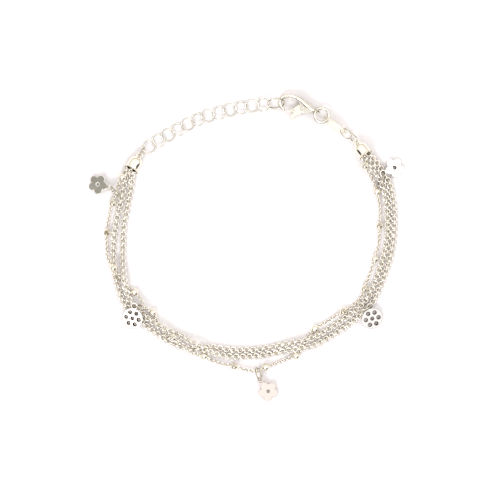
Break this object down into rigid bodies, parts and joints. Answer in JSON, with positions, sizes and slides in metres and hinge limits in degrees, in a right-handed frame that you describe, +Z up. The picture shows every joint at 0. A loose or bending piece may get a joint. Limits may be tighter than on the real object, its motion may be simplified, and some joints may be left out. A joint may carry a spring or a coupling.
{
  "type": "multi-strand charm bracelet",
  "caption": "Silver bracelet of rolo and beaded chains between bell caps, with an extension chain, a lobster clasp, an oval tag and small charms, laid in a closed loop.",
  "frame": {"origin": "on the surface that the bracelet lies on, below the middle of its bounding box", "axes": "+Z up from that surface, +Y from the bottom charm towards the clasp, +X towards the side with the clasp's tag"},
  "size_m": [0.0726, 0.0706, 0.0038],
  "materials": {
    "polished_silver": "polished silver, lightly worn",
    "chain_silver": "polished silver wire links"
  },
  "bodies": {
    "bracelet": {"rolo_chain_a": "chain_silver", "rolo_chain_b": "chain_silver", "beaded_chain": "chain_silver", "left_end_cap": "polished_silver", "right_end_cap": "polished_silver", "left_cap_link": "polished_silver", "extender_ring_01": "polished_silver", "extender_ring_02": "polished_silver", "extender_ring_03": "polished_silver", "extender_ring_04": "polished_silver", "extender_ring_05": "polished_silver", "extender_ring_06": "polished_silver", "extender_ring_07": "polished_silver", "extender_ring_08": "polished_silver", "extender_ring_09": "polished_silver", "extender_ring_10": "polished_silver", "extender_ring_11": "polished_silver", "extender_ring_12": "polished_silver", "end_ring": "polished_silver", "clasp_body": "polished_silver", "clasp_jump_ring": "polished_silver", "oval_tag": "polished_silver", "tag_link": "polished_silver", "right_cap_link": "polished_silver", "left_flower_charm": "polished_silver", "left_disc_charm": "polished_silver", "bottom_flower_charm": "polished_silver", "right_disc_charm": "polished_silver", "right_flower_charm": "polished_silver", "left_flower_jump_ring": "polished_silver", "left_disc_jump_ring": "polished_silver", "bottom_flower_jump_ring": "polished_silver", "right_disc_jump_ring": "polished_silver", "right_flower_jump_ring": "polished_silver"},
    "lever": {"clasp_lever": "polished_silver"}
  },
  "joints": [
    {"name": "clasp_lever_pivot", "type": "hinge", "parent": "bracelet", "child": "lever", "pos_m": [0.01335, 0.03205, 0.0013], "axis": [0, 0, -1], "range_deg": [0, 25], "stiffness_Nm_per_rad": 0.001, "springref_deg": -17.19}
  ]
}
